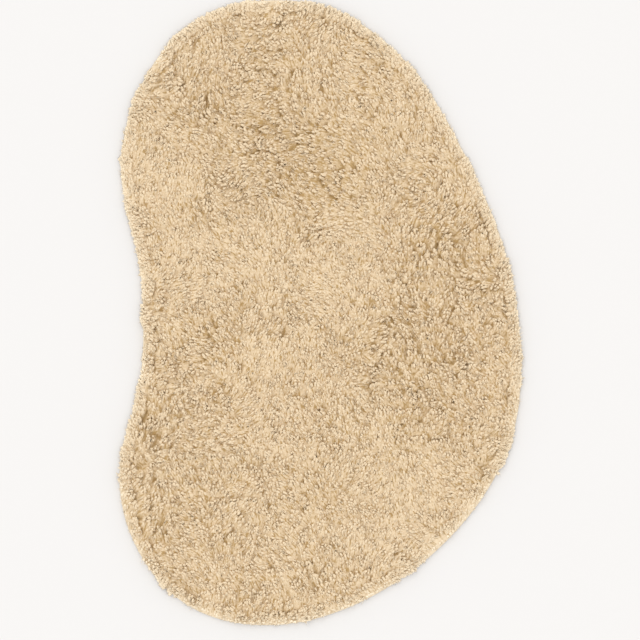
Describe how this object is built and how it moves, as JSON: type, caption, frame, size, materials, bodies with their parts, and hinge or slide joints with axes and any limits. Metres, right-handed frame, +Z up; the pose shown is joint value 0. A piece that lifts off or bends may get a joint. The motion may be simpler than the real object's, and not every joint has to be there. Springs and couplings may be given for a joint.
{
  "type": "tufted rug",
  "caption": "Kidney-shaped tufted rug with a long, curly cut pile in oatmeal wool, laid flat on the floor.",
  "frame": {"origin": "middle of the rug's box, on the floor under it", "axes": "+X across the rug, away from its hollow waist; +Y along it, towards its crown; +Z up, out of the pile"},
  "size_m": [0.9028, 1.3984, 0.0304],
  "materials": {
    "pile_yarn": "matt cut-pile wool",
    "backing_cloth": "matt plain-woven cloth"
  },
  "bodies": {
    "root": {"rug": "pile_yarn"}
  },
  "joints": []
}
